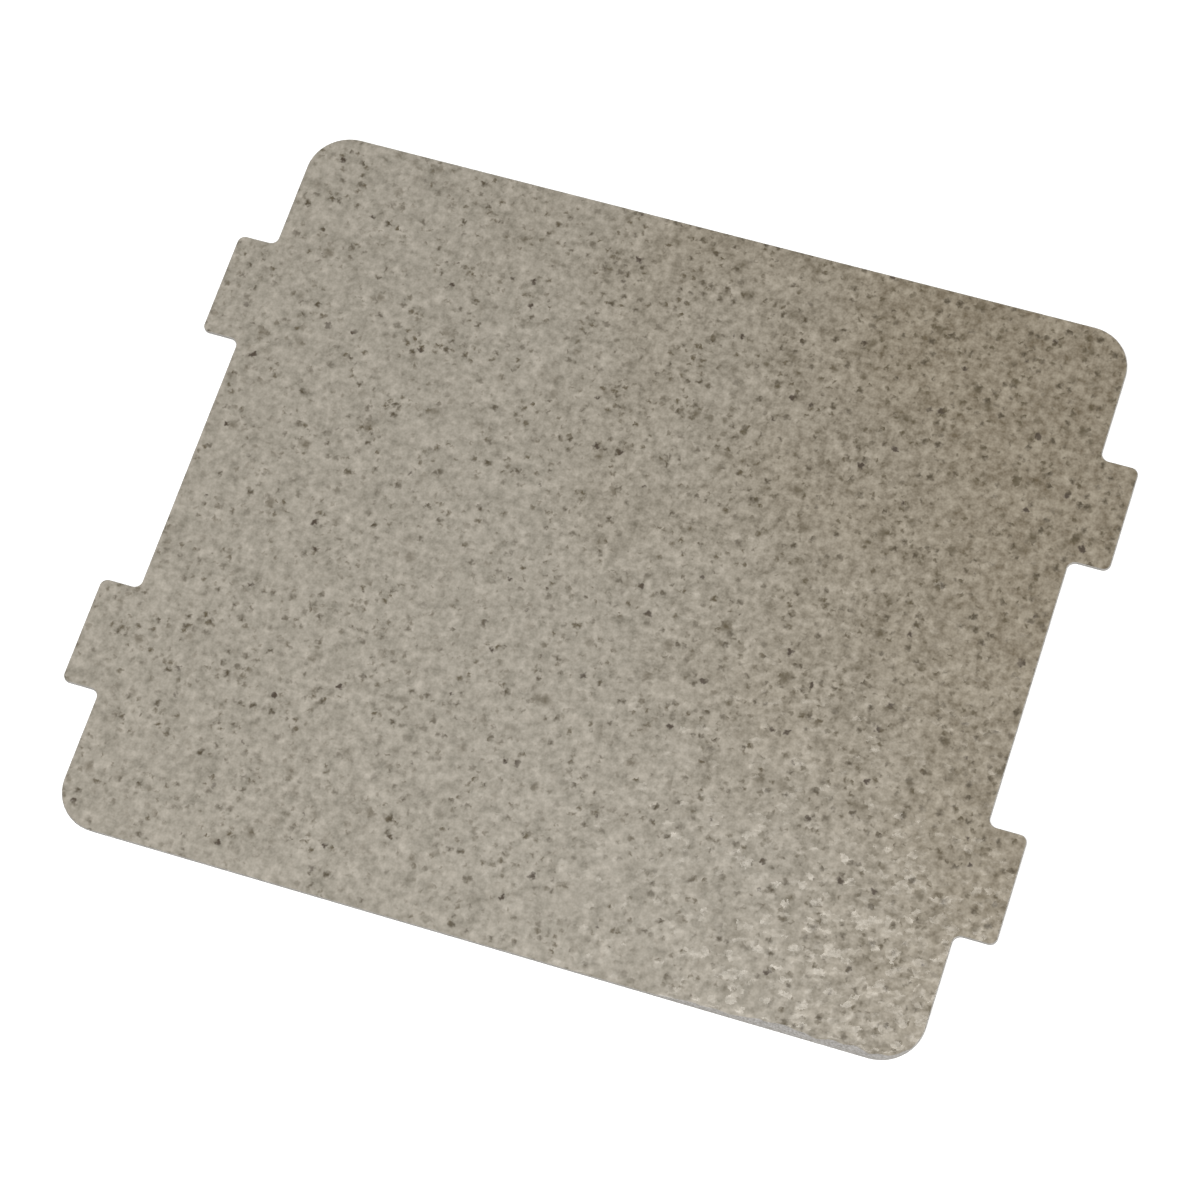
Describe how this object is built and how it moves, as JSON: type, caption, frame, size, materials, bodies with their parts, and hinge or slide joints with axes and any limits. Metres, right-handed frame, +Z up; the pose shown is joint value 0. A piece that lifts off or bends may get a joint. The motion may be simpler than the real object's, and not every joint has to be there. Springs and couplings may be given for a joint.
{
  "type": "microwave mica plate",
  "caption": "Flat mica sheet with rounded corners and side tabs that slip into slots, covering the waveguide outlet inside a microwave oven.",
  "frame": {"origin": "middle of the sheet's underside", "axes": "+X across the sheet through its tabs, +Y along its tabbed sides, +Z up out of its top face"},
  "size_m": [0.119, 0.099, 0.0005],
  "materials": {
    "mica_board": "satin"
  },
  "bodies": {
    "root": {"mica_plate": "mica_board"}
  },
  "joints": []
}
